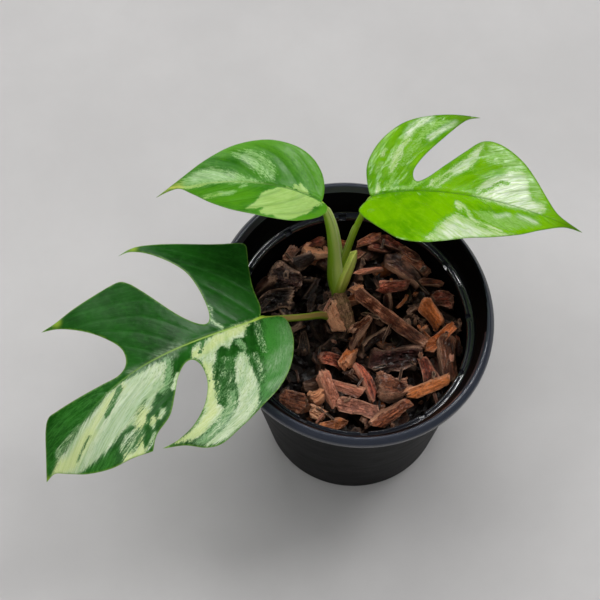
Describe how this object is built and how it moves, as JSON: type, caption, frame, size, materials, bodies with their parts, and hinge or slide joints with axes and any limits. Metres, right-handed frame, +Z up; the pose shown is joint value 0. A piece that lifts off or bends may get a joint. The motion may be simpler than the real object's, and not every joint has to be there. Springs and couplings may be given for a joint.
{
  "type": "potted mini monstera plant",
  "caption": "Young variegated plant with split leaves on thin stalks, standing in a tapered black nursery pot full of coarse bark chips.",
  "frame": {"origin": "centre of the pot's underside, on the surface it stands on", "axes": "+Z up along the pot's axis, -X towards the large left leaf, +Y towards the back"},
  "size_m": [0.2204, 0.132, 0.1528],
  "materials": {
    "pot": "satin black moulded plastic",
    "bark": "rough pine bark, reddish brown to purple-brown",
    "old_stem": "dry brown stem",
    "shoot": "smooth green stalk",
    "left_stalk": "smooth olive stalk, brownish above",
    "left_blade": "leaf, satin dark green with cream variegation on the front half",
    "middle_blade": "leaf, satin mid green with a lime-cream patch",
    "right_blade": "leaf, glossy lime green with white marbling"
  },
  "bodies": {
    "root": {"pot": "pot", "bark": "bark", "old_stem": "old_stem", "shoot": "shoot", "left_stalk": "left_stalk", "left_blade": "left_blade", "middle_blade": "middle_blade", "right_blade": "right_blade"}
  },
  "joints": []
}
